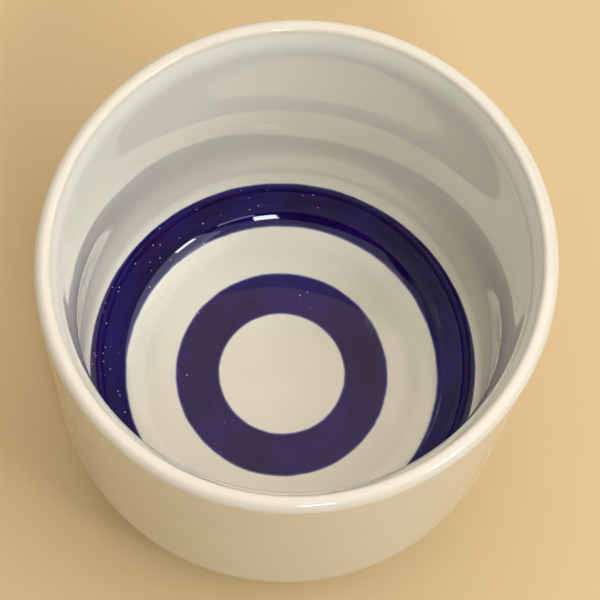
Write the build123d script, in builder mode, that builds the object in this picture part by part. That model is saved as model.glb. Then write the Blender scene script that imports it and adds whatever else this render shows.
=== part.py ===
"""Guinomi sake cup with two cobalt rings on its inside floor, in millimetres.

The cup stands on its foot ring. The origin is the centre of the resting face, and +Z points up.
Every piece is a half section in the XZ plane, turned about the cup's axis.
"""
import os

from build123d import *

os.makedirs("parts", exist_ok=True)

# Cup, over the glaze
rim_diameter = 66.0
cup_height = 57.4
wall_lean = 0.7
hip_radius = 11.0
floor_thickness = 4.3
floor_bend_radius = 11.0

# Inside wall: it swells out to a belly, draws in to a waist and opens again to the lip. Belly and waist lie at
# these shares of the hollow's depth, from its floor.
wall_at_floor = 4.66
wall_at_belly = 3.2
wall_at_waist = 4.75
belly_share = 0.32
waist_share = 0.672
belly_radius = 45.0
waist_radius = 88.0

# Lip: bevelled towards the inside and rounded all over
lip_thickness = 3.2
lip_bevel_drop = 2.7
lip_bevel_radius = 8.0
lip_crown = 0.6
lip_inner_radius = 0.7
lip_outer_radius = 1.3

# Foot ring, over the glaze
foot_diameter = 40.0
foot_ring_width = 3.6
foot_height = 3.6
foot_recess = 2.2
neck_radius = 1.0
recess_corner_radius = 1.0

# Glaze, and the foot edge that it leaves bare
glaze_thickness = 0.35
bare_foot_height = 1.0
bare_edge_radius = 0.7

# Cobalt rings, from the inside wall towards the middle
ring_depth = 0.2
outer_ring_reach = 4.9
outer_ring_climb = 5.8
white_band_width = 7.4
inner_ring_width = 6.15

# Places that follow from the sizes
rim_radius = rim_diameter / 2
hip_corner = (rim_radius - wall_lean, foot_height)
lip_outer_corner = (rim_radius, cup_height)
lip_inner_corner = (rim_radius - lip_outer_radius - lip_crown, cup_height)
lip_bevel_corner = (rim_radius - lip_thickness, cup_height - lip_bevel_drop)
floor_level = foot_recess + floor_thickness
belly_level = floor_level + belly_share * (cup_height - floor_level)
waist_level = floor_level + waist_share * (cup_height - floor_level)


def wall_point(level, thickness):
    """The point of the inside wall at a level, by the wall's thickness there."""
    lean = wall_lean * (cup_height - level) / (cup_height - foot_height)
    return (rim_radius - lean - thickness, level)


floor_corner = wall_point(floor_level, wall_at_floor)
belly_corner = wall_point(belly_level, wall_at_belly)
waist_corner = wall_point(waist_level, wall_at_waist)
foot_radius = foot_diameter / 2
foot_inner_radius = foot_radius - foot_ring_width
neck_corner = (foot_radius, foot_height)
recess_corner = (foot_inner_radius, foot_recess)
outer_ring_edge = floor_corner[0] - outer_ring_reach
inner_ring_edge = outer_ring_edge - white_band_width
eye_radius = inner_ring_edge - inner_ring_width

# The hollow of the cup: its floor, the bend and the curving wall, open at the rim
with BuildSketch() as hollow_half:
    with BuildLine():
        Polyline(
            (0, floor_level),
            floor_corner,
            belly_corner,
            waist_corner,
            lip_bevel_corner,
            lip_inner_corner,
            (0, cup_height),
            close=True,
        )
    make_face()
    fillet(vertices().sort_by_distance(floor_corner)[0], floor_bend_radius)
    fillet(vertices().sort_by_distance(belly_corner)[0], belly_radius)
    fillet(vertices().sort_by_distance(waist_corner)[0], waist_radius)
    fillet(vertices().sort_by_distance(lip_bevel_corner)[0], lip_bevel_radius)

# The glazed cup in section: bowl and foot, less the recess under the floor and the hollow
with BuildSketch() as glazed_half:
    with BuildLine():
        Polyline((0, foot_height), hip_corner, lip_outer_corner, (0, cup_height), close=True)
    make_face()
    fillet(vertices().sort_by_distance(hip_corner)[0], hip_radius)
    Rectangle(foot_radius, floor_level, align=Align.MIN)
    Rectangle(foot_inner_radius, foot_recess, align=Align.MIN, mode=Mode.SUBTRACT)
    add(hollow_half.sketch, mode=Mode.SUBTRACT)
    fillet(vertices().sort_by_distance(lip_outer_corner)[0], lip_outer_radius)
    fillet(vertices().sort_by_distance(lip_inner_corner)[0], lip_inner_radius)
    fillet(vertices().sort_by_distance(neck_corner)[0], neck_radius)
    fillet(vertices().sort_by_distance(recess_corner)[0], recess_corner_radius)

# The bare edge of the foot in section, rounded where it meets the table
with BuildSketch() as bare_foot_half:
    with Locations((foot_inner_radius + glaze_thickness, 0)):
        Rectangle(foot_ring_width - 2 * glaze_thickness, foot_height, align=Align.MIN)
    fillet(vertices().group_by(Axis.Y)[0], bare_edge_radius)

# The clay in section: the glazed cup less the glaze, with the bare edge of the foot down to the table
with BuildSketch() as clay_half:
    add(glazed_half.sketch)
    mirror(about=Plane.YZ)
    offset(amount=-glaze_thickness, mode=Mode.REPLACE)
    Rectangle(rim_diameter, cup_height, align=Align.MIN, mode=Mode.INTERSECT)
    Rectangle(rim_diameter, bare_foot_height, align=Align.MIN, mode=Mode.SUBTRACT)
    add(bare_foot_half.sketch)

# The skin of the hollow that the colour fills, from the glazed surface down to the ring depth
with BuildSketch() as colour_skin:
    add(hollow_half.sketch)
    mirror(about=Plane.YZ)
    offset(amount=ring_depth, mode=Mode.REPLACE)
    add(hollow_half.sketch, mode=Mode.SUBTRACT)
    with Locations((0, floor_level - ring_depth)):
        Rectangle(rim_radius, ring_depth + outer_ring_climb, align=Align.MIN, mode=Mode.INTERSECT)

with BuildSketch() as outer_ring_section:
    with Locations((outer_ring_edge, 0)):
        Rectangle(rim_radius, cup_height, align=Align.MIN)
    add(colour_skin.sketch, mode=Mode.INTERSECT)

with BuildSketch() as inner_ring_section:
    with Locations((eye_radius, 0)):
        Rectangle(inner_ring_width, cup_height, align=Align.MIN)
    add(colour_skin.sketch, mode=Mode.INTERSECT)

# The glaze in section: all between clay and surface, above the bare edge and round the colour
with BuildSketch() as glaze_section:
    add(glazed_half.sketch)
    add(clay_half.sketch, mode=Mode.SUBTRACT)
    Rectangle(rim_radius, bare_foot_height, align=Align.MIN, mode=Mode.SUBTRACT)
    add(outer_ring_section.sketch, mode=Mode.SUBTRACT)
    add(inner_ring_section.sketch, mode=Mode.SUBTRACT)

patch_section, coat_section = glaze_section.faces().sort_by(SortBy.AREA)

with BuildPart() as porcelain_body:
    with BuildSketch(Plane.XZ):
        add(clay_half.sketch)
    revolve(axis=Axis.Z)
porcelain_body.part.label = "porcelain_body"
export_step(porcelain_body.part, "parts/porcelain_body.step")

with BuildPart() as glaze_coat:
    with BuildSketch(Plane.XZ):
        add(coat_section)
    revolve(axis=Axis.Z)
glaze_coat.part.label = "glaze_coat"
export_step(glaze_coat.part, "parts/glaze_coat.step")

with BuildPart() as base_glaze:
    with BuildSketch(Plane.XZ):
        add(patch_section)
    revolve(axis=Axis.Z)
base_glaze.part.label = "base_glaze"
export_step(base_glaze.part, "parts/base_glaze.step")

with BuildPart() as outer_blue_ring:
    with BuildSketch(Plane.XZ):
        add(outer_ring_section.sketch)
    revolve(axis=Axis.Z)
outer_blue_ring.part.label = "outer_blue_ring"
export_step(outer_blue_ring.part, "parts/outer_blue_ring.step")

with BuildPart() as inner_blue_ring:
    with BuildSketch(Plane.XZ):
        add(inner_ring_section.sketch)
    revolve(axis=Axis.Z)
inner_blue_ring.part.label = "inner_blue_ring"
export_step(inner_blue_ring.part, "parts/inner_blue_ring.step")
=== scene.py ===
"""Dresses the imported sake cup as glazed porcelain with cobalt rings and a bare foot, in a pale studio."""
import math
from typing import NamedTuple

import bpy
from bpy.props import FloatProperty, FloatVectorProperty, IntProperty, PointerProperty
from mathutils import Matrix, Vector


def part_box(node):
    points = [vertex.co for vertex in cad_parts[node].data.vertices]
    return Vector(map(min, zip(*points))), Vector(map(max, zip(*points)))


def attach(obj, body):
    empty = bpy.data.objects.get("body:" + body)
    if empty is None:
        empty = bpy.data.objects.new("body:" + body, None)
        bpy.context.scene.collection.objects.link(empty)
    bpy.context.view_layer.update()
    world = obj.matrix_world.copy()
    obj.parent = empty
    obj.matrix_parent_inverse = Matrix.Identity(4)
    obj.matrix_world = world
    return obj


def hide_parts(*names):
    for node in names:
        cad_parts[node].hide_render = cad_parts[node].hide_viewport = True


bl_info = {
    "name": "Ringed Sake Cup",
    "version": (1, 0, 0),
    "blender": (4, 5, 0),
    "location": "3D View > Sidebar > Sake Cup",
    "description": "Turns a glazed porcelain sake cup with cobalt rings and stands it in a small studio",
    "category": "Add Mesh",
}

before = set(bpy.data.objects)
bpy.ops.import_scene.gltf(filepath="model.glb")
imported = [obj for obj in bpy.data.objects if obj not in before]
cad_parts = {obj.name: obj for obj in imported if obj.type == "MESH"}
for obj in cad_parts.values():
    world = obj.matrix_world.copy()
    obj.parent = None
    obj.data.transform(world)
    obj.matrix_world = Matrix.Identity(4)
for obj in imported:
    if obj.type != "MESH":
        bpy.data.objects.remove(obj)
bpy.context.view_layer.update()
coat_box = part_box("glaze_coat")
inner_ring_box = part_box("inner_blue_ring")
outer_ring_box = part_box("outer_blue_ring")

MM = 0.001
FLOOR_WIDTH = 6.0
SHARE, FIRST, SECOND, MIXED = 0, 6, 7, 2  # sockets of a Mix node for colours


def linear(code):
    """Turns an sRGB hex colour into linear red, green and blue."""
    channels = [int(code[i:i + 2], 16) / 255 for i in (1, 3, 5)]
    return tuple(c / 12.92 if c <= 0.04045 else ((c + 0.055) / 1.055) ** 2.4 for c in channels)


def length(title, description, default):
    """A length in metres that a user can change."""
    return FloatProperty(name=title, description=description, default=default, min=0, precision=5,
                         subtype="DISTANCE", unit="LENGTH")


def colour(title, description, code):
    """A colour that a user can change, from an sRGB hex value."""
    return FloatVectorProperty(name=title, description=description, default=linear(code), size=3,
                               min=0, max=1, subtype="COLOR")


def part_of(title, description, default):
    """A share from 0 to 1 that a user can change."""
    return FloatProperty(name=title, description=description, default=default, min=0, max=1, precision=4,
                         subtype="FACTOR")


def angle(title, description, degrees):
    """An angle that a user can change."""
    return FloatProperty(name=title, description=description, default=math.radians(degrees), subtype="ANGLE",
                         unit="ROTATION")


class CupSizes(bpy.types.PropertyGroup):
    """Sizes of the finished cup, over the glaze."""
    rim_diameter: length("Rim diameter", "Across the lip, over the glaze", 66 * MM)
    cup_height: length("Height", "From the table to the top of the lip", coat_box[1].z)
    wall_lean: length("Wall lean", "How far the outside draws in from the lip to the foot", 0.7 * MM)
    hip_radius: length("Hip radius", "Radius of the outside curve above the foot", 11 * MM)
    floor_level: length("Floor level", "Height of the inside floor above the table", inner_ring_box[1].z)
    floor_bend: length("Floor bend", "Radius of the bend from the floor to the wall", 9.2 * MM)
    wall_at_floor: length("Wall at the floor", "Thickness of the wall at the inside floor", 4.7 * MM)
    wall_at_belly: length("Wall at the belly", "Thickness where the inside swells out", 3.35 * MM)
    wall_at_waist: length("Wall at the waist", "Thickness where the inside draws in", 4.75 * MM)
    belly_share: part_of("Belly", "Place of the belly, as a share of the hollow's depth", 0.27)
    waist_share: part_of("Waist", "Place of the waist, as a share of the hollow's depth", 0.672)
    belly_radius: length("Belly radius", "Curve of the inside wall at the belly", 45 * MM)
    waist_radius: length("Waist radius", "Curve of the inside wall at the waist", 88 * MM)
    lip_thickness: length("Lip thickness", "Across the lip, with its bevel", 3.2 * MM)
    lip_bevel_drop: length("Lip bevel drop", "How far the bevel goes down inside the lip", 2.7 * MM)
    lip_bevel_radius: length("Lip bevel radius", "Curve from the wall into the bevel", 8 * MM)
    lip_crown: length("Lip crown", "Level stretch on top of the lip", 0.6 * MM)
    lip_inner_radius: length("Lip inner radius", "Rounding of the lip towards the inside", 0.7 * MM)
    lip_outer_radius: length("Lip outer radius", "Rounding of the lip towards the outside", 1.3 * MM)
    foot_diameter: length("Foot diameter", "Across the foot ring, over the glaze", 40 * MM)
    foot_width: length("Foot width", "Across the band that the cup stands on, over the glaze", 3.6 * MM)
    foot_height: length("Foot height", "From the table to the hip", 3.6 * MM)
    foot_recess: length("Foot recess", "Depth of the hollow inside the foot ring", 2.2 * MM)
    neck_radius: length("Neck radius", "Hollow curve between the hip and the foot", 1 * MM)
    recess_radius: length("Recess radius", "Hollow curve inside the foot ring", 1 * MM)
    bare_edge_radius: length("Bare edge radius", "Rounding of the bare foot", 0.7 * MM)
    glaze: length("Glaze thickness", "Thickness of the glaze", 0.35 * MM)
    bare_height: length("Bare height", "How far up the foot the clay stays bare", coat_box[0].z)
    oval: part_of("Oval", "How far the rim went out of round in the kiln, as a share of it", 0.0132)
    oval_heading: angle("Oval heading", "Direction of the rim's long axis, from +X towards +Y", 49.7)


class RingSizes(bpy.types.PropertyGroup):
    """Sizes of the two cobalt rings, from the inside wall towards the middle."""
    depth: length("Ring depth", "How deep the colour goes into the glaze",
                  inner_ring_box[1].z - inner_ring_box[0].z)
    reach: length("Outer ring reach", "From the wall's line to the inner edge of the outer ring", 4.86 * MM)
    top: length("Outer ring top", "Height of the outer ring's upper edge above the table",
                outer_ring_box[1].z - 0.6 * MM)
    band: length("White band", "Between the rings", 7.4 * MM)
    width: length("Inner ring width", "Across the inner ring", 6.15 * MM)
    bleed: length("Bleed", "How far the colour softens on either side of a ring's edge", 0.3 * MM)
    wander: length("Wander", "How far a ring's painted edge wanders", 0.06 * MM)


class CupColours(bpy.types.PropertyGroup):
    """Colours of the glaze, the rings and the bare clay."""
    glaze_white: colour("Glaze", "Warm white of the porcelain under clear glaze", "#EFECDE")
    glaze_cool: colour("Glaze, thick", "Where the glaze has run together", "#EBE9DC")
    # The lip colour is partly thin glaze and partly painted shade that darkens the top of the lip.
    lip_thin_glaze_and_shade: colour("Glaze, lip", "Where the glaze runs thin over the lip", "#E4DECB")
    glaze_flash: colour("Glaze, edge", "Warm line where the glaze stops", "#D8C19C")
    iron_speck: colour("Iron specks", "Tiny brown specks in the clay", "#6B5440")
    cobalt_deep: colour("Cobalt, deep", "Where the brush left most colour", "#180842")
    cobalt_bright: colour("Cobalt, bright", "Where the colour is thinner", "#221068")
    cobalt_thin: colour("Cobalt, edge", "Thin colour along the edges of a ring", "#474A90")
    pinhole: colour("Pinholes", "Pale specks where the colour did not take", "#C9CCE4")
    bare_clay: colour("Bare clay", "Unglazed foot", "#DDD2BE")
    scuffed_clay: colour("Scuffed clay", "Grey rubbed into the foot", "#A99C8A")


class StudioSettings(bpy.types.PropertyGroup):
    """Camera, floor and light."""
    camera_back: length("Camera back", "How far in front of the cup's axis the camera stands", 98.744 * MM)
    camera_height: length("Camera height", "Height of the camera above the table", 327.922 * MM)
    camera_pitch: angle("Camera pitch", "How far the camera looks down", 71.052)
    camera_yaw: angle("Camera yaw", "How far the camera looks to the right", 0.600)
    camera_roll: angle("Camera roll", "How far the camera leans to the left", 8.543)
    focal_length: FloatProperty(name="Focal length", description="In mm, on a 36 mm sensor", default=138)
    floor_colour: colour("Floor", "Pale floor", "#D6BC8C")
    backdrop: colour("Backdrop", "What the camera and the gloss see beyond the floor", "#E4D6BC")
    sky: FloatProperty(name="Sky", description="Strength of the light from all around", default=0.03, min=0)
    sky_tint: colour("Sky tint", "Colour of the light from all around", "#FFF4E4")
    segments: IntProperty(name="Segments", description="Steps round each turned piece", default=208, min=32)


def add_node(tree, kind, inputs=None, **settings):
    """Adds a node with its settings. Each input takes a value or another node's output."""
    node = tree.nodes.new(kind)
    for name, value in settings.items():
        setattr(node, name, value)
    for name, value in (inputs or {}).items():
        if isinstance(value, bpy.types.NodeSocket):
            tree.links.new(value, node.inputs[name])
        else:
            node.inputs[name].default_value = value
    return node


def rounded(corners):
    """Points of a line through corners (radius, height, rounding), with an arc at each rounded corner.

    Straight stretches are divided too, so that the smooth shading of an arc stops where the arc does.
    """
    step = math.radians(3)
    longest = 2 * MM
    path = []
    for i, (x, z, rounding) in enumerate(corners):
        corner = Vector((x, z))
        bend = [corner]
        if rounding:
            back = (Vector(corners[i - 1][:2]) - corner).normalized()
            ahead = (Vector(corners[i + 1][:2]) - corner).normalized()
            half = back.angle(ahead) / 2
            centre = corner + (back + ahead).normalized() * rounding / math.sin(half)
            start = corner + back * rounding / math.tan(half) - centre
            sweep = math.copysign(math.pi - 2 * half, back.cross(ahead))
            count = max(6, math.ceil(abs(sweep) / step))
            bend = [centre + Matrix.Rotation(-sweep * k / count, 2) @ start for k in range(count + 1)]
        if path:
            count = math.ceil((bend[0] - path[-1]).length / longest)
            path += [path[-1].lerp(bend[0], k / count) for k in range(1, count)]
        path += bend
    return path


def moved_in(path, depth):
    """The same line, moved into the clay by depth."""
    shifted = []
    for i, point in enumerate(path):
        along = (path[min(i + 1, len(path) - 1)] - path[max(i - 1, 0)]).normalized()
        shifted.append(point - Vector((-along.y, along.x)) * depth)
    return shifted


def split(path, axis, value):
    """Cuts a line in two where it first reaches value, on axis 0 for radius or 1 for height."""
    for i in range(1, len(path)):
        before, after = path[i - 1], path[i]
        if before[axis] < value <= after[axis]:
            cut = before.lerp(after, (value - before[axis]) / (after[axis] - before[axis]))
            return path[:i] + [cut], [cut] + path[i:]
    raise ValueError(f"the line never reaches {value}")


class Sections:
    """The cup's half sections, as lists of (radius, height) points."""

    def __init__(self, cup, ring):
        rim = cup.rim_diameter / 2
        foot = cup.foot_diameter / 2
        foot_inside = foot - cup.foot_width
        clay_foot, clay_inside = foot - cup.glaze, foot_inside + cup.glaze
        edge_round = cup.glaze * 0.9
        depth = cup.cup_height - cup.floor_level
        belly_level = cup.floor_level + cup.belly_share * depth
        waist_level = cup.floor_level + cup.waist_share * depth

        def inside_wall(level, thickness, rounding):
            lean = cup.wall_lean * (cup.cup_height - level) / (cup.cup_height - cup.foot_height)
            return (rim - lean - thickness, level, rounding)

        floor_corner = inside_wall(cup.floor_level, cup.wall_at_floor, cup.floor_bend)
        self.floor_edge = floor_corner[0]
        self.floor_level = cup.floor_level
        self.lip_level = cup.cup_height
        self.glaze_stop = cup.bare_height
        self.top = ring.top
        self.outer_edge = self.floor_edge - ring.reach
        self.inner_edge = self.outer_edge - ring.band
        self.eye = self.inner_edge - ring.width

        outside = [
            (0, cup.floor_level, 0),
            floor_corner,
            inside_wall(belly_level, cup.wall_at_belly, cup.belly_radius),
            inside_wall(waist_level, cup.wall_at_waist, cup.waist_radius),
            (rim - cup.lip_thickness, cup.cup_height - cup.lip_bevel_drop, cup.lip_bevel_radius),
            (rim - cup.lip_outer_radius - cup.lip_crown, cup.cup_height, cup.lip_inner_radius),
            (rim, cup.cup_height, cup.lip_outer_radius),
            (rim - cup.wall_lean, cup.foot_height, cup.hip_radius),
            (foot, cup.foot_height, cup.neck_radius),
        ]
        clay = moved_in(rounded(outside + [(foot, cup.bare_height, 0)]), cup.glaze)
        surface = rounded(outside + [(foot, cup.bare_height, edge_round), (clay_foot, cup.bare_height, 0)])

        middle, rest = split(surface, 0, self.eye)
        inner_band, rest = split(rest, 0, self.inner_edge)
        white_band, rest = split(rest, 0, self.outer_edge)
        outer_band, rest = split(rest, 1, ring.top)
        inner_seat, outer_seat = moved_in(inner_band, ring.depth), moved_in(outer_band, ring.depth)

        self.coat = middle + inner_seat + white_band + outer_seat + rest + clay[-2::-1]
        self.inner_ring = inner_band + inner_seat[::-1]
        self.outer_ring = outer_band + outer_seat[::-1]
        self.body = clay[:-1] + rounded([
            (clay_foot, cup.bare_height, 0),
            (clay_foot, 0, cup.bare_edge_radius),
            (clay_inside, 0, cup.bare_edge_radius),
            (clay_inside, cup.foot_recess + cup.glaze, cup.recess_radius + cup.glaze),
            (0, cup.foot_recess + cup.glaze, 0),
        ])
        self.patch = rounded([
            (0, cup.foot_recess + cup.glaze, 0),
            (clay_inside, cup.foot_recess + cup.glaze, cup.recess_radius + cup.glaze),
            (clay_inside, cup.bare_height, 0),
            (foot_inside, cup.bare_height, edge_round),
            (foot_inside, cup.foot_recess, cup.recess_radius),
            (0, cup.foot_recess, 0),
        ])


def turning_tree():
    """Geometry nodes that turn a half section about the cup's axis and let the rim go a little oval."""
    name = "turned_on_the_wheel"
    if name in bpy.data.node_groups:
        return bpy.data.node_groups[name]
    tree = bpy.data.node_groups.new(name, "GeometryNodeTree")
    for title, kind in (("Section", "NodeSocketGeometry"), ("Segments", "NodeSocketInt"),
                        ("Turning Radius", "NodeSocketFloat"), ("Weld Distance", "NodeSocketFloat"),
                        ("Crease Angle", "NodeSocketFloat"), ("Oval", "NodeSocketFloat"),
                        ("Oval Heading", "NodeSocketFloat"), ("Oval From", "NodeSocketFloat"),
                        ("Oval To", "NodeSocketFloat"), ("Finish", "NodeSocketMaterial")):
        tree.interface.new_socket(title, in_out="INPUT", socket_type=kind)
    tree.interface.new_socket("Piece", in_out="OUTPUT", socket_type="NodeSocketGeometry")
    given = add_node(tree, "NodeGroupInput").outputs

    outward = add_node(tree, "ShaderNodeVectorMath", {0: (-1, 0, 0), "Scale": given["Turning Radius"]},
                       operation="SCALE")
    section = add_node(tree, "GeometryNodeTransform", {"Geometry": given["Section"],
                       "Translation": outward.outputs["Vector"], "Scale": (1, -1, 1)})
    wheel = add_node(tree, "GeometryNodeCurvePrimitiveCircle", {"Resolution": given["Segments"],
                     "Radius": given["Turning Radius"]})
    upright = add_node(tree, "GeometryNodeSetCurveNormal", {"Curve": wheel.outputs["Curve"]}, mode="Z_UP")
    turned = add_node(tree, "GeometryNodeCurveToMesh", {"Curve": upright.outputs["Curve"],
                      "Profile Curve": section.outputs["Geometry"]})
    welded = add_node(tree, "GeometryNodeMergeByDistance", {"Geometry": turned.outputs["Mesh"],
                      "Distance": given["Weld Distance"]})

    # A point moves out or in by the cosine of twice its angle from the long axis, the more the higher it is.
    place = add_node(tree, "GeometryNodeInputPosition")
    parts = add_node(tree, "ShaderNodeSeparateXYZ", {"Vector": place.outputs["Position"]})
    bearing = add_node(tree, "ShaderNodeMath", {0: parts.outputs["Y"], 1: parts.outputs["X"]},
                       operation="ARCTAN2")
    apart = add_node(tree, "ShaderNodeMath", {0: bearing.outputs[0], 1: given["Oval Heading"]},
                     operation="SUBTRACT")
    doubled = add_node(tree, "ShaderNodeMath", {0: apart.outputs[0], 1: 2}, operation="MULTIPLY")
    swing = add_node(tree, "ShaderNodeMath", {0: doubled.outputs[0]}, operation="COSINE")
    share = add_node(tree, "ShaderNodeMapRange", {"Value": parts.outputs["Z"],
                     "From Min": given["Oval From"], "From Max": given["Oval To"], "To Max": given["Oval"]},
                     interpolation_type="SMOOTHSTEP")
    stretch = add_node(tree, "ShaderNodeMath", {0: swing.outputs[0], 1: share.outputs["Result"], 2: 1},
                       operation="MULTIPLY_ADD")
    scales = add_node(tree, "ShaderNodeCombineXYZ", {"X": stretch.outputs[0], "Y": stretch.outputs[0],
                      "Z": 1})
    moved = add_node(tree, "ShaderNodeVectorMath", {0: place.outputs["Position"],
                     1: scales.outputs["Vector"]}, operation="MULTIPLY")
    warped = add_node(tree, "GeometryNodeSetPosition", {"Geometry": welded.outputs["Geometry"],
                      "Position": moved.outputs["Vector"]})

    smooth = add_node(tree, "GeometryNodeSetShadeSmooth", {"Geometry": warped.outputs["Geometry"]})
    bend = add_node(tree, "GeometryNodeInputMeshEdgeAngle")
    sharp = add_node(tree, "FunctionNodeCompare", {"A": bend.outputs["Unsigned Angle"],
                     "B": given["Crease Angle"]}, operation="GREATER_THAN")
    creased = add_node(tree, "GeometryNodeStoreNamedAttribute", {"Geometry": smooth.outputs["Geometry"],
                       "Name": "sharp_edge", "Value": sharp.outputs["Result"]},
                       data_type="BOOLEAN", domain="EDGE")
    real = add_node(tree, "GeometryNodeRealizeInstances", {"Geometry": creased.outputs["Geometry"]})
    finished = add_node(tree, "GeometryNodeSetMaterial", {"Geometry": real.outputs["Geometry"],
                        "Material": given["Finish"]})
    add_node(tree, "NodeGroupOutput", {"Piece": finished.outputs["Geometry"]})
    return tree


def turn(name, section, material, closed=False):
    """Turns a half section into a mesh object at the origin. A closed one is a ring clear of the axis."""
    scene = bpy.context.scene
    line = bpy.data.curves.new(name, "CURVE")
    line.dimensions = "3D"
    spline = line.splines.new("POLY")
    spline.points.add(len(section) - 1)
    spline.use_cyclic_u = closed
    for point, (radius, height) in zip(spline.points, section):
        point.co = (radius, height, 0, 1)
    rough = bpy.data.objects.new(name + "_section", line)
    scene.collection.objects.link(rough)
    tree = turning_tree()
    wheel = rough.modifiers.new("wheel", "NODES")
    wheel.node_group = tree
    settings = {
        "Segments": scene.cup_studio.segments,
        "Turning Radius": 10 * MM,
        "Weld Distance": 0.002 * MM,
        "Crease Angle": math.radians(35),
        "Oval": scene.cup_sizes.oval,
        "Oval Heading": scene.cup_sizes.oval_heading,
        "Oval From": scene.ring_sizes.top,
        "Oval To": scene.cup_sizes.cup_height,
        "Finish": material,
    }
    for item in tree.interface.items_tree:
        if item.in_out == "INPUT" and item.name in settings:
            wheel[item.identifier] = settings[item.name]
    graph = bpy.context.evaluated_depsgraph_get()
    mesh = bpy.data.meshes.new_from_object(rough.evaluated_get(graph), depsgraph=graph)
    bpy.data.objects.remove(rough)
    bpy.data.curves.remove(line)
    piece = bpy.data.objects.new(name, mesh)
    scene.collection.objects.link(piece)
    return piece


def sections():
    """The half sections at the sizes now set."""
    scene = bpy.context.scene
    return Sections(scene.cup_sizes, scene.ring_sizes)


def hand_over(piece, node):
    """Puts a finished piece in the place of its CAD node."""
    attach(piece, "root")
    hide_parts(node)


def rgba(tint):
    """A colour as a socket takes it."""
    return (*tint, 1)


def empty_material(name):
    """A material with an empty tree, and where on the piece each point lies."""
    material = bpy.data.materials.new(name)
    material.use_nodes = True
    tree = material.node_tree
    tree.nodes.clear()
    return material, tree, add_node(tree, "ShaderNodeTexCoord").outputs["Object"]


def surface(tree, inputs):
    """Ends a material's tree with its shader."""
    shader = add_node(tree, "ShaderNodeBsdfPrincipled", inputs)
    add_node(tree, "ShaderNodeOutputMaterial", {"Surface": shader.outputs["BSDF"]})


def off_axis(tree, place):
    """Each point's direction and distance from the cup's axis, and its height."""
    level = add_node(tree, "ShaderNodeVectorMath", {0: place, 1: (1, 1, 0)}, operation="MULTIPLY")
    radius = add_node(tree, "ShaderNodeVectorMath", {0: level.outputs["Vector"]}, operation="LENGTH")
    way = add_node(tree, "ShaderNodeVectorMath", {0: level.outputs["Vector"]}, operation="NORMALIZE")
    height = add_node(tree, "ShaderNodeSeparateXYZ", {"Vector": place})
    return way.outputs["Vector"], radius.outputs["Value"], height.outputs["Z"]


def white_share(tree, place, radius, height, shapes, side):
    """How far a point near a ring's edge is on the white side, from 0 to 1.

    Side is -1 on a ring and 1 beside it.
    """
    ring = bpy.context.scene.ring_sizes
    nearest = 1.0
    for measure, edge in ((radius, shapes.eye), (radius, shapes.inner_edge), (radius, shapes.outer_edge),
                          (height, shapes.top)):
        past = add_node(tree, "ShaderNodeMath", {0: measure, 1: edge}, operation="SUBTRACT")
        gap = add_node(tree, "ShaderNodeMath", {0: past.outputs[0]}, operation="ABSOLUTE")
        least = add_node(tree, "ShaderNodeMath", {0: gap.outputs[0], 1: nearest}, operation="MINIMUM")
        nearest = least.outputs[0]
    brush = add_node(tree, "ShaderNodeTexNoise", {"Vector": place, "Scale": 1 / (2.6 * MM), "Detail": 2})
    drift = add_node(tree, "ShaderNodeMapRange", {"Value": brush.outputs["Fac"], "From Min": 0.25,
                     "From Max": 0.75, "To Min": -ring.wander, "To Max": ring.wander})
    signed = add_node(tree, "ShaderNodeMath", {0: nearest, 1: side, 2: drift.outputs["Result"]},
                      operation="MULTIPLY_ADD")
    share = add_node(tree, "ShaderNodeMapRange", {"Value": signed.outputs[0], "From Min": -ring.bleed,
                     "From Max": ring.bleed}, interpolation_type="SMOOTHSTEP")
    return share.outputs["Result"]


def bled(tree, share, cobalt, white):
    """The colour across a ring's soft edge: cobalt, then thin blue, then white."""
    thin = rgba(bpy.context.scene.cup_colours.cobalt_thin)
    thinning = add_node(tree, "ShaderNodeMapRange", {"Value": share, "From Max": 0.5})
    clearing = add_node(tree, "ShaderNodeMapRange", {"Value": share, "From Min": 0.5})
    blue = add_node(tree, "ShaderNodeMix", {SHARE: thinning.outputs["Result"], FIRST: cobalt, SECOND: thin},
                    data_type="RGBA")
    edge = add_node(tree, "ShaderNodeMix", {SHARE: clearing.outputs["Result"], FIRST: blue.outputs[MIXED],
                    SECOND: white}, data_type="RGBA")
    return edge.outputs[MIXED]


def glassy_skin(tree, place):
    """Gloss and relief of fired glaze: uneven gloss, a slow ripple from the wheel and a fine orange peel."""
    patches = add_node(tree, "ShaderNodeTexNoise", {"Vector": place, "Scale": 1 / (4 * MM), "Detail": 2})
    gloss = add_node(tree, "ShaderNodeMapRange", {"Value": patches.outputs["Fac"], "From Min": 0.3,
                     "From Max": 0.7, "To Min": 0.02, "To Max": 0.045})
    ripple = add_node(tree, "ShaderNodeTexNoise", {"Vector": place, "Scale": 1 / (9 * MM), "Detail": 1})
    peel = add_node(tree, "ShaderNodeTexNoise", {"Vector": place, "Scale": 1 / (1.3 * MM), "Detail": 1})
    slow = add_node(tree, "ShaderNodeBump", {"Height": ripple.outputs["Fac"], "Distance": 0.03 * MM})
    fine = add_node(tree, "ShaderNodeBump", {"Height": peel.outputs["Fac"], "Distance": 0.0012 * MM,
                    "Normal": slow.outputs["Normal"]})
    return gloss.outputs["Result"], fine.outputs["Normal"]


def specks(tree, place, spacing, size):
    """Scattered specks, from 0 to 1.

    Spacing is between their middles, through the clay, so few of them meet the surface.
    """
    cells = add_node(tree, "ShaderNodeTexVoronoi", {"Vector": place, "Scale": 1 / spacing, "Randomness": 1})
    spot = add_node(tree, "ShaderNodeMapRange", {"Value": cells.outputs["Distance"],
                    "From Min": size / spacing, "From Max": size / spacing * 0.5},
                    interpolation_type="SMOOTHSTEP")
    return spot.outputs["Result"]


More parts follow.
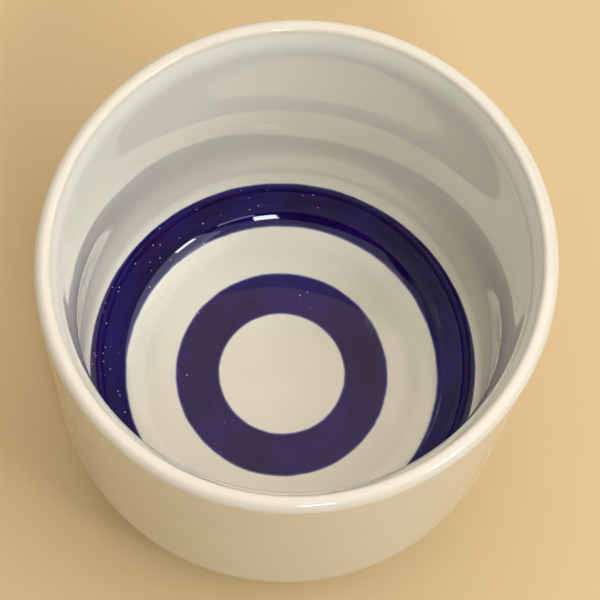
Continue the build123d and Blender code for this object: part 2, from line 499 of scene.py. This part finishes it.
def glazed_porcelain(shapes):
    """Porcelain under a clear glaze, fired in a kiln.

    It looks ivory and wet, a little cooler where the glaze has run together, with a blue breath beside the
    rings, a warm line where it stops above the foot and a few iron specks from the clay.
    """
    colours = bpy.context.scene.cup_colours
    material, tree, place = empty_material("clear_glaze_on_porcelain")
    radius, height = off_axis(tree, place)[1:]
    pools = add_node(tree, "ShaderNodeTexNoise", {"Vector": place, "Scale": 1 / (11 * MM), "Detail": 3})
    thickness = add_node(tree, "ShaderNodeMapRange", {"Value": pools.outputs["Fac"], "From Min": 0.4,
                         "From Max": 0.7})
    white = add_node(tree, "ShaderNodeMix", {SHARE: thickness.outputs["Result"],
                     FIRST: rgba(colours.glaze_white), SECOND: rgba(colours.glaze_cool)}, data_type="RGBA")
    # Painted shade: the top of the lip is made darker, partly for the glaze running thin there and partly to
    # stand in for less light falling on the lip.
    lip = add_node(tree, "ShaderNodeMapRange", {"Value": height, "From Min": shapes.lip_level - 1 * MM,
                   "From Max": shapes.lip_level - 0.3 * MM}, interpolation_type="SMOOTHSTEP")
    thinned_and_shaded = add_node(tree, "ShaderNodeMix", {SHARE: lip.outputs["Result"], FIRST: white.outputs[MIXED],
                       SECOND: rgba(colours.lip_thin_glaze_and_shade)}, data_type="RGBA")
    iron = specks(tree, place, 6 * MM, 0.11 * MM)
    specked = add_node(tree, "ShaderNodeMix", {SHARE: iron, FIRST: thinned_and_shaded.outputs[MIXED],
                       SECOND: rgba(colours.iron_speck)}, data_type="RGBA")
    stop = add_node(tree, "ShaderNodeMapRange", {"Value": height, "From Min": shapes.glaze_stop + 0.9 * MM,
                    "From Max": shapes.glaze_stop, "To Max": 0.8}, interpolation_type="SMOOTHSTEP")
    flashed = add_node(tree, "ShaderNodeMix", {SHARE: stop.outputs["Result"], FIRST: specked.outputs[MIXED],
                       SECOND: rgba(colours.glaze_flash)}, data_type="RGBA")

    # The rings' edges are only on the inside, so the outside and the underside stay white.
    beside = white_share(tree, place, radius, height, shapes, 1)
    outside = add_node(tree, "ShaderNodeMath", {0: radius, 1: shapes.floor_edge + 3 * MM},
                       operation="GREATER_THAN")
    under = add_node(tree, "ShaderNodeMath", {0: height, 1: shapes.floor_level - 0.3 * MM},
                     operation="LESS_THAN")
    away = add_node(tree, "ShaderNodeMath", {0: outside.outputs[0], 1: under.outputs[0]},
                    operation="MAXIMUM")
    share = add_node(tree, "ShaderNodeMath", {0: beside, 1: away.outputs[0]}, operation="MAXIMUM")
    tint = bled(tree, share.outputs[0], rgba(colours.cobalt_bright), flashed.outputs[MIXED])
    gloss, relief = glassy_skin(tree, place)
    surface(tree, {"Base Color": tint, "Roughness": gloss, "IOR": 1.44, "Normal": relief})
    return material


def cobalt_glaze(shapes):
    """Cobalt oxide banded on with a brush as the cup turns, under the clear glaze.

    It looks like dark violet ink under glass: streaked along the turn, thin and bluer at its soft edges, and
    pricked with pale pinholes where the colour did not take.
    """
    colours = bpy.context.scene.cup_colours
    material, tree, place = empty_material("cobalt_under_glaze")
    way, radius, height = off_axis(tree, place)
    across = add_node(tree, "ShaderNodeMath", {0: radius, 1: height}, operation="ADD")
    strokes = add_node(tree, "ShaderNodeMath", {0: across.outputs[0], 1: 1 / (0.8 * MM)},
                       operation="MULTIPLY")
    lift = add_node(tree, "ShaderNodeCombineXYZ", {"Z": strokes.outputs[0]})
    stroke = add_node(tree, "ShaderNodeVectorMath", {0: way, 1: (2.5, 2.5, 0), 2: lift.outputs["Vector"]},
                      operation="MULTIPLY_ADD")
    streaks = add_node(tree, "ShaderNodeTexNoise", {"Vector": stroke.outputs["Vector"], "Scale": 1,
                       "Detail": 3})
    patches = add_node(tree, "ShaderNodeTexNoise", {"Vector": place, "Scale": 1 / (10 * MM), "Detail": 2})
    load = add_node(tree, "ShaderNodeMath", {0: streaks.outputs["Fac"], 1: 0.5, 2: patches.outputs["Fac"]},
                    operation="MULTIPLY_ADD")
    thin = add_node(tree, "ShaderNodeMapRange", {"Value": load.outputs[0], "From Min": 0.6, "From Max": 1})
    ink = add_node(tree, "ShaderNodeMix", {SHARE: thin.outputs["Result"], FIRST: rgba(colours.cobalt_deep),
                   SECOND: rgba(colours.cobalt_bright)}, data_type="RGBA")
    share = white_share(tree, place, radius, height, shapes, -1)
    edged = bled(tree, share, ink.outputs[MIXED], rgba(colours.glaze_white))
    holes = specks(tree, place, 1.15 * MM, 0.13 * MM)
    clusters = add_node(tree, "ShaderNodeTexNoise", {"Vector": place, "Scale": 1 / (9 * MM), "Detail": 1})
    sides = add_node(tree, "ShaderNodeSeparateXYZ", {"Vector": place})
    dry = add_node(tree, "ShaderNodeMath", {0: sides.outputs["X"], 1: -1 / (100 * MM),
                   2: clusters.outputs["Fac"]}, operation="MULTIPLY_ADD")
    worn = add_node(tree, "ShaderNodeMath", {0: radius, 1: 1 / (100 * MM), 2: dry.outputs[0]},
                    operation="MULTIPLY_ADD")
    where = add_node(tree, "ShaderNodeMapRange", {"Value": worn.outputs[0], "From Min": 0.75,
                     "From Max": 0.85})
    pricked = add_node(tree, "ShaderNodeMath", {0: holes, 1: where.outputs["Result"]}, operation="MULTIPLY")
    tint = add_node(tree, "ShaderNodeMix", {SHARE: pricked.outputs[0], FIRST: edged,
                    SECOND: rgba(colours.pinhole)}, data_type="RGBA")
    gloss, relief = glassy_skin(tree, place)
    surface(tree, {"Base Color": tint.outputs[MIXED], "Roughness": gloss, "IOR": 1.4, "Normal": relief})
    return material


def bare_porcelain():
    """Fired porcelain clay without glaze, wiped clean on a sponge before the kiln.

    It looks matte and chalky, with fine lines from the turning and grey scuffs where it stands.
    """
    colours = bpy.context.scene.cup_colours
    material, tree, place = empty_material("bare_porcelain")
    radius, height = off_axis(tree, place)[1:]
    grit = add_node(tree, "ShaderNodeTexNoise", {"Vector": place, "Scale": 1 / (0.35 * MM), "Detail": 3})
    rubbed = add_node(tree, "ShaderNodeTexNoise", {"Vector": place, "Scale": 1 / (2.5 * MM), "Detail": 4})
    scuff = add_node(tree, "ShaderNodeMapRange", {"Value": rubbed.outputs["Fac"], "From Min": 0.45,
                     "From Max": 0.75, "To Max": 0.8})
    low = add_node(tree, "ShaderNodeMapRange", {"Value": height, "From Min": 0.35 * MM, "From Max": 0})
    worn = add_node(tree, "ShaderNodeMath", {0: scuff.outputs["Result"], 1: low.outputs["Result"]},
                    operation="MULTIPLY")
    tint = add_node(tree, "ShaderNodeMix", {SHARE: worn.outputs[0], FIRST: rgba(colours.bare_clay),
                    SECOND: rgba(colours.scuffed_clay)}, data_type="RGBA")
    turns = add_node(tree, "ShaderNodeMath", {0: radius, 1: math.tau / (0.45 * MM)}, operation="MULTIPLY")
    lines = add_node(tree, "ShaderNodeMath", {0: turns.outputs[0]}, operation="SINE")
    dull = add_node(tree, "ShaderNodeMapRange", {"Value": grit.outputs["Fac"], "To Min": 0.7, "To Max": 0.9})
    turned = add_node(tree, "ShaderNodeBump", {"Height": lines.outputs[0], "Distance": 0.006 * MM})
    rough = add_node(tree, "ShaderNodeBump", {"Height": grit.outputs["Fac"], "Distance": 0.04 * MM,
                     "Normal": turned.outputs["Normal"]})
    surface(tree, {"Base Color": tint.outputs[MIXED], "Roughness": dull.outputs["Result"], "IOR": 1.5,
                   "Normal": rough.outputs["Normal"]})
    return material


def directly_seen(tree):
    """1 for what the camera sees and the gloss mirrors, and 0 for the light that falls on things."""
    ray = add_node(tree, "ShaderNodeLightPath").outputs
    seen = add_node(tree, "ShaderNodeMath", {0: ray["Is Camera Ray"], 1: ray["Is Glossy Ray"]},
                    operation="MAXIMUM")
    return seen.outputs[0]


def matte_floor(studio):
    """Plain matte card for the floor. It shows the backdrop's colour far off, where no lamp reaches."""
    material, tree, place = empty_material("matte_card")
    card = add_node(tree, "ShaderNodeBsdfPrincipled", {"Base Color": rgba(studio.floor_colour),
                    "Roughness": 0.8})
    glow = add_node(tree, "ShaderNodeEmission", {"Color": rgba(studio.backdrop)})
    distance = add_node(tree, "ShaderNodeVectorMath", {0: place}, operation="LENGTH")
    far = add_node(tree, "ShaderNodeMapRange", {"Value": distance.outputs["Value"],
                   "From Min": 200 * MM, "From Max": 1000 * MM}, interpolation_type="SMOOTHSTEP")
    share = add_node(tree, "ShaderNodeMath", {0: directly_seen(tree), 1: far.outputs["Result"]},
                     operation="MULTIPLY")
    mixed = add_node(tree, "ShaderNodeMixShader", {0: share.outputs[0], 1: card.outputs["BSDF"],
                     2: glow.outputs["Emission"]})
    add_node(tree, "ShaderNodeOutputMaterial", {"Surface": mixed.outputs["Shader"]})
    return material


class CUP_OT_body(bpy.types.Operator):
    """Turn the porcelain body with its foot ring"""
    bl_idname = "cup.body"
    bl_label = "Porcelain body"

    def execute(self, context):
        piece = turn("cup_body", sections().body, bare_porcelain())
        hand_over(piece, "porcelain_body")
        return {"FINISHED"}


class CUP_OT_glaze(bpy.types.Operator):
    """Lay the glaze over the cup and inside its foot ring"""
    bl_idname = "cup.glaze"
    bl_label = "Glaze"

    def execute(self, context):
        shapes = sections()
        glaze = glazed_porcelain(shapes)
        hand_over(turn("cup_glaze", shapes.coat, glaze), "glaze_coat")
        hand_over(turn("foot_glaze", shapes.patch, glaze), "base_glaze")
        return {"FINISHED"}


class CUP_OT_rings(bpy.types.Operator):
    """Band the two cobalt rings on the inside floor"""
    bl_idname = "cup.rings"
    bl_label = "Cobalt rings"

    def execute(self, context):
        shapes = sections()
        cobalt = cobalt_glaze(shapes)
        outer = turn("outer_cobalt_ring", shapes.outer_ring, cobalt, closed=True)
        hand_over(outer, "outer_blue_ring")
        inner = turn("inner_cobalt_ring", shapes.inner_ring, cobalt, closed=True)
        hand_over(inner, "inner_blue_ring")
        return {"FINISHED"}


def studio_world(studio):
    """Dim light from all around, and a pale backdrop beyond the floor that adds no light to the cup.

    Only the camera and the gloss see the backdrop, and only low down.
    """
    world = bpy.data.worlds.new("studio")
    world.use_nodes = True
    tree = world.node_tree
    way = add_node(tree, "ShaderNodeTexCoord").outputs["Generated"]
    rise = add_node(tree, "ShaderNodeSeparateXYZ", {"Vector": way})
    low = add_node(tree, "ShaderNodeMapRange", {"Value": rise.outputs["Z"], "From Min": 0.5,
                   "From Max": 0.25}, interpolation_type="SMOOTHSTEP")
    share = add_node(tree, "ShaderNodeMath", {0: directly_seen(tree), 1: low.outputs["Result"]},
                     operation="MULTIPLY")
    dim = [channel * studio.sky for channel in studio.sky_tint]
    glow = add_node(tree, "ShaderNodeMix", {SHARE: share.outputs[0], FIRST: rgba(dim),
                    SECOND: rgba(studio.backdrop)}, data_type="RGBA")
    tree.links.new(glow.outputs[MIXED], tree.nodes["Background"].inputs["Color"])
    return world


class Lamp(NamedTuple):
    """A soft lamp that points at the cup: angles in degrees, sizes in metres and power in watts."""
    name: str
    azimuth: float  # from straight behind the cup, towards the right
    elevation: float
    distance: float
    width: float
    depth: float
    power: float
    tint: str


LAMPS = (
    Lamp("ceiling", 180, 78.7, 1.53, 1.73, 1.2, 6.4, "#FFFBF2"),
    Lamp("back_ceiling", 0, 67.5, 1.62, 1.73, 0.6, 4.5, "#FFE4D9"),
    Lamp("right_ceiling", 75, 70, 1.4, 1.1, 0.6, 2.4, "#FFFBF2"),
    Lamp("left_ceiling", 285, 68, 1.4, 1.2, 0.7, 2.0, "#FFFBF2"),
    Lamp("back", 0, 35, 1.5, 1.5, 0.8, 5.4, "#FFFBF2"),
    Lamp("left", 270, 40, 1.5, 1.0, 0.6, 0.8, "#FFFBF2"),
    Lamp("window", 94, 46, 1.3, 1.1, 0.8, 7.6, "#F4F6FF"),
    Lamp("lamp", 160, 51, 1.2, 0.16, 0.15, 2.5, "#F4F9FF"),
    Lamp("second_lamp", 118.5, 45.3, 1.2, 0.16, 0.08, 1.2, "#FFFFFF"),
    Lamp("strip_lamp", 146, 44.5, 1.2, 0.28, 0.05, 0.26, "#F0F0FF"),
)


class CUP_OT_studio(bpy.types.Operator):
    """Set up the floor, the lights and the camera"""
    bl_idname = "cup.studio"
    bl_label = "Studio"

    def execute(self, context):
        scene = context.scene
        studio = scene.cup_studio
        scene.view_settings.view_transform = "Standard"

        half = FLOOR_WIDTH / 2
        corners = [(-half, -half, 0), (half, -half, 0), (half, half, 0), (-half, half, 0)]
        floor_mesh = bpy.data.meshes.new("floor")
        floor_mesh.from_pydata(corners, [], [(0, 1, 2, 3)])
        floor_mesh.materials.append(matte_floor(studio))
        floor = bpy.data.objects.new("floor", floor_mesh)
        scene.collection.objects.link(floor)

        scene.world = studio_world(studio)

        target = Vector((0, 0, scene.cup_sizes.cup_height / 2))
        for lamp in LAMPS:
            light = bpy.data.lights.new(lamp.name, "AREA")
            light.shape = "RECTANGLE"
            light.size, light.size_y, light.energy = lamp.width, lamp.depth, lamp.power
            light.color = linear(lamp.tint)
            azimuth, elevation = math.radians(lamp.azimuth), math.radians(lamp.elevation)
            away = Vector((math.sin(azimuth) * math.cos(elevation), math.cos(azimuth) * math.cos(elevation),
                           math.sin(elevation)))
            holder = bpy.data.objects.new(lamp.name, light)
            holder.location = target + away * lamp.distance
            holder.rotation_euler = away.to_track_quat("Z", "Y").to_euler()
            scene.collection.objects.link(holder)

        lens = bpy.data.cameras.new("camera")
        lens.sensor_width = 36  # millimetres, for a focal length that is given on such a sensor
        lens.lens = studio.focal_length
        lens.clip_start = 0.01
        camera = bpy.data.objects.new("camera", lens)
        camera.matrix_world = (Matrix.Translation((0, -studio.camera_back, studio.camera_height))
                               @ Matrix.Rotation(-studio.camera_yaw, 4, "Z")
                               @ Matrix.Rotation(math.pi / 2 - studio.camera_pitch, 4, "X")
                               @ Matrix.Rotation(studio.camera_roll, 4, "Z"))
        scene.collection.objects.link(camera)
        scene.camera = camera
        return {"FINISHED"}


class CUP_PT_panel(bpy.types.Panel):
    """Lists the cup's pieces and sizes"""
    bl_idname = "CUP_PT_panel"
    bl_label = "Sake Cup"
    bl_space_type = "VIEW_3D"
    bl_region_type = "UI"
    bl_category = "Sake Cup"

    def draw(self, context):
        for operator in OPERATORS:
            self.layout.operator(operator.bl_idname)
        for name in SETTINGS:
            group = getattr(context.scene, name)
            box = self.layout.box()
            for prop in group.bl_rna.properties:
                if prop.identifier in group.__annotations__:
                    box.prop(group, prop.identifier)


OPERATORS = (CUP_OT_body, CUP_OT_glaze, CUP_OT_rings, CUP_OT_studio)
SETTINGS = {
    "cup_sizes": CupSizes,
    "ring_sizes": RingSizes,
    "cup_colours": CupColours,
    "cup_studio": StudioSettings,
}


def register():
    for group in (*SETTINGS.values(), *OPERATORS, CUP_PT_panel):
        bpy.utils.register_class(group)
    for name, group in SETTINGS.items():
        setattr(bpy.types.Scene, name, PointerProperty(type=group))


def unregister():
    for name in SETTINGS:
        delattr(bpy.types.Scene, name)
    for group in (CUP_PT_panel, *OPERATORS, *SETTINGS.values()):
        bpy.utils.unregister_class(group)


def main():
    register()
    bpy.ops.cup.body()
    bpy.ops.cup.glaze()
    bpy.ops.cup.rings()
    bpy.ops.cup.studio()


if __name__ == "__main__":
    main()
